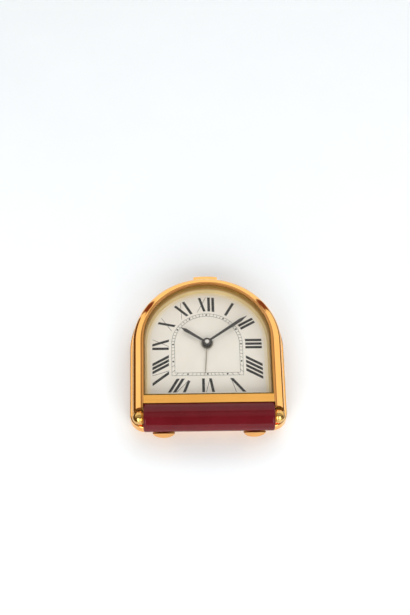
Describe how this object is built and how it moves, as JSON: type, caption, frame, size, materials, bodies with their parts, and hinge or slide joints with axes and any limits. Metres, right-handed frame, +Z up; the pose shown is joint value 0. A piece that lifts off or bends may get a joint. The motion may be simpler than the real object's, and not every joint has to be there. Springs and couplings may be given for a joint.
{
  "type": "pendulette alarm clock",
  "caption": "Small arched gilt table alarm clock with a white dial, Roman numerals, sword hands and a lacquered bar with ball finials along its foot; free-standing.",
  "frame": {"origin": "on the floor, under the middle of the clock at mid-depth", "axes": "+Z up, the dial faces -Y, +X to the right as the dial is read"},
  "size_m": [0.0712, 0.019, 0.0833],
  "materials": {
    "gilt_polished": "polished gilt",
    "gilt_satin": "satin brushed along its length",
    "gilt_knob": "gilt, fluted",
    "rehaut_tan": "satin tan lacquer",
    "glass_clear": "clear mineral glass",
    "gasket_rubber": "matt",
    "dial_white": "warm white enamel paint",
    "print_black": "black print",
    "hand_black": "dark oxidised steel",
    "hand_grey": "grey-gilt",
    "cap_bright": "bright",
    "lacquer_burgundy": "glossy burgundy lacquer on a brass tube",
    "core_aluminium": "turned",
    "screw_steel": "plain",
    "wheel_brass": "machined",
    "movement_plastic": "moulded",
    "coil_copper": "enamelled copper wire",
    "board_green": "solder mask",
    "chip_black": "resin",
    "can_steel": "nickel plated",
    "buzzer_brass": "sheet"
  },
  "bodies": {
    "case": {"case_shell": "gilt_polished", "front_frame": "gilt_polished", "bezel": "gilt_polished", "apron_plate": "gilt_satin", "crystal": "glass_clear", "crystal_gasket": "gasket_rubber", "rehaut": "rehaut_tan", "dial": "dial_white", "dial_numerals": "print_black", "minute_track": "print_black", "roller_sleeve": "lacquer_burgundy", "roller_core": "core_aluminium", "ball_finials": "gilt_polished", "roller_screws": "screw_steel", "feet": "gilt_polished", "foot_screws": "screw_steel", "rear_cover": "gilt_polished", "rear_cover_screws": "screw_steel", "movement_ring": "movement_plastic", "movement_plate": "movement_plastic", "movement_bridge": "movement_plastic", "movement_screws": "screw_steel", "wheel_posts": "screw_steel", "stator": "screw_steel", "coil": "coil_copper", "circuit_board": "board_green", "quartz_can": "can_steel", "chip": "chip_black", "battery": "can_steel", "battery_contact": "can_steel", "buzzer": "buzzer_brass", "alarm_switch": "movement_plastic", "button_spring": "screw_steel"},
    "minute": {"cannon_pinion": "wheel_brass", "minute_hand": "hand_black", "hand_cap": "cap_bright"},
    "hour": {"hour_wheel": "wheel_brass", "hour_hand": "hand_black"},
    "alarm": {"alarm_wheel": "wheel_brass", "alarm_hand": "hand_grey"},
    "minute_wheel": {"minute_wheel": "wheel_brass"},
    "centre_wheel": {"centre_wheel": "wheel_brass"},
    "intermediate_wheel": {"intermediate_wheel": "wheel_brass"},
    "rotor": {"rotor": "screw_steel"},
    "time_knob": {"time_knob": "gilt_knob"},
    "alarm_knob": {"alarm_knob": "gilt_knob"},
    "alarm_button": {"alarm_button": "gilt_polished"},
    "battery_cover": {"battery_cover": "gilt_polished"}
  },
  "joints": [
    {"name": "minute_turn", "type": "hinge", "parent": "case", "child": "minute", "pos_m": [0, 0, 0.04494], "axis": [0, 1, 0], "continuous": true},
    {"name": "hour_turn", "type": "hinge", "parent": "case", "child": "hour", "pos_m": [0, 0, 0.04494], "axis": [0, 1, 0], "continuous": true},
    {"name": "minute_wheel_turn", "type": "hinge", "parent": "case", "child": "minute_wheel", "pos_m": [0.00564, 0, 0.04289], "axis": [0, 1, 0], "continuous": true},
    {"name": "time_knob_turn", "type": "hinge", "parent": "case", "child": "time_knob", "pos_m": [0.01128, 0, 0.04084], "axis": [0, 1, 0], "continuous": true},
    {"name": "alarm_turn", "type": "hinge", "parent": "case", "child": "alarm", "pos_m": [0, 0, 0.04494], "axis": [0, 1, 0], "continuous": true},
    {"name": "alarm_knob_turn", "type": "hinge", "parent": "case", "child": "alarm_knob", "pos_m": [-0.01128, 0, 0.04084], "axis": [0, 1, 0], "continuous": true},
    {"name": "rotor_turn", "type": "hinge", "parent": "case", "child": "rotor", "pos_m": [-0.00154, 0, 0.05369], "axis": [0, 1, 0], "continuous": true},
    {"name": "intermediate_turn", "type": "hinge", "parent": "case", "child": "intermediate_wheel", "pos_m": [-0.00092, 0, 0.05014], "axis": [0, 1, 0], "continuous": true},
    {"name": "centre_turn", "type": "hinge", "parent": "case", "child": "centre_wheel", "pos_m": [0, 0, 0.04494], "axis": [0, 1, 0], "continuous": true},
    {"name": "alarm_button_press", "type": "slide", "parent": "case", "child": "alarm_button", "axis": [0, 0, -1], "range_m": [0, 0.0012], "stiffness_N_per_m": 400, "springref_m": -0.0008, "deforming": ["button_spring"]},
    {"name": "battery_cover_turn", "type": "hinge", "parent": "case", "child": "battery_cover", "pos_m": [0, 0, 0.02754], "axis": [0, 1, 0], "range_deg": [0, 90]}
  ],
  "couplings": [
    {"joint": "hour_turn", "follows": "minute_turn", "ratio": 0.083333},
    {"joint": "minute_wheel_turn", "follows": "minute_turn", "ratio": -0.33333},
    {"joint": "time_knob_turn", "follows": "minute_turn", "ratio": 1},
    {"joint": "alarm_knob_turn", "follows": "alarm_turn", "ratio": -2},
    {"joint": "intermediate_turn", "follows": "rotor_turn", "ratio": -0.11111},
    {"joint": "centre_turn", "follows": "rotor_turn", "ratio": 0.011111}
  ]
}
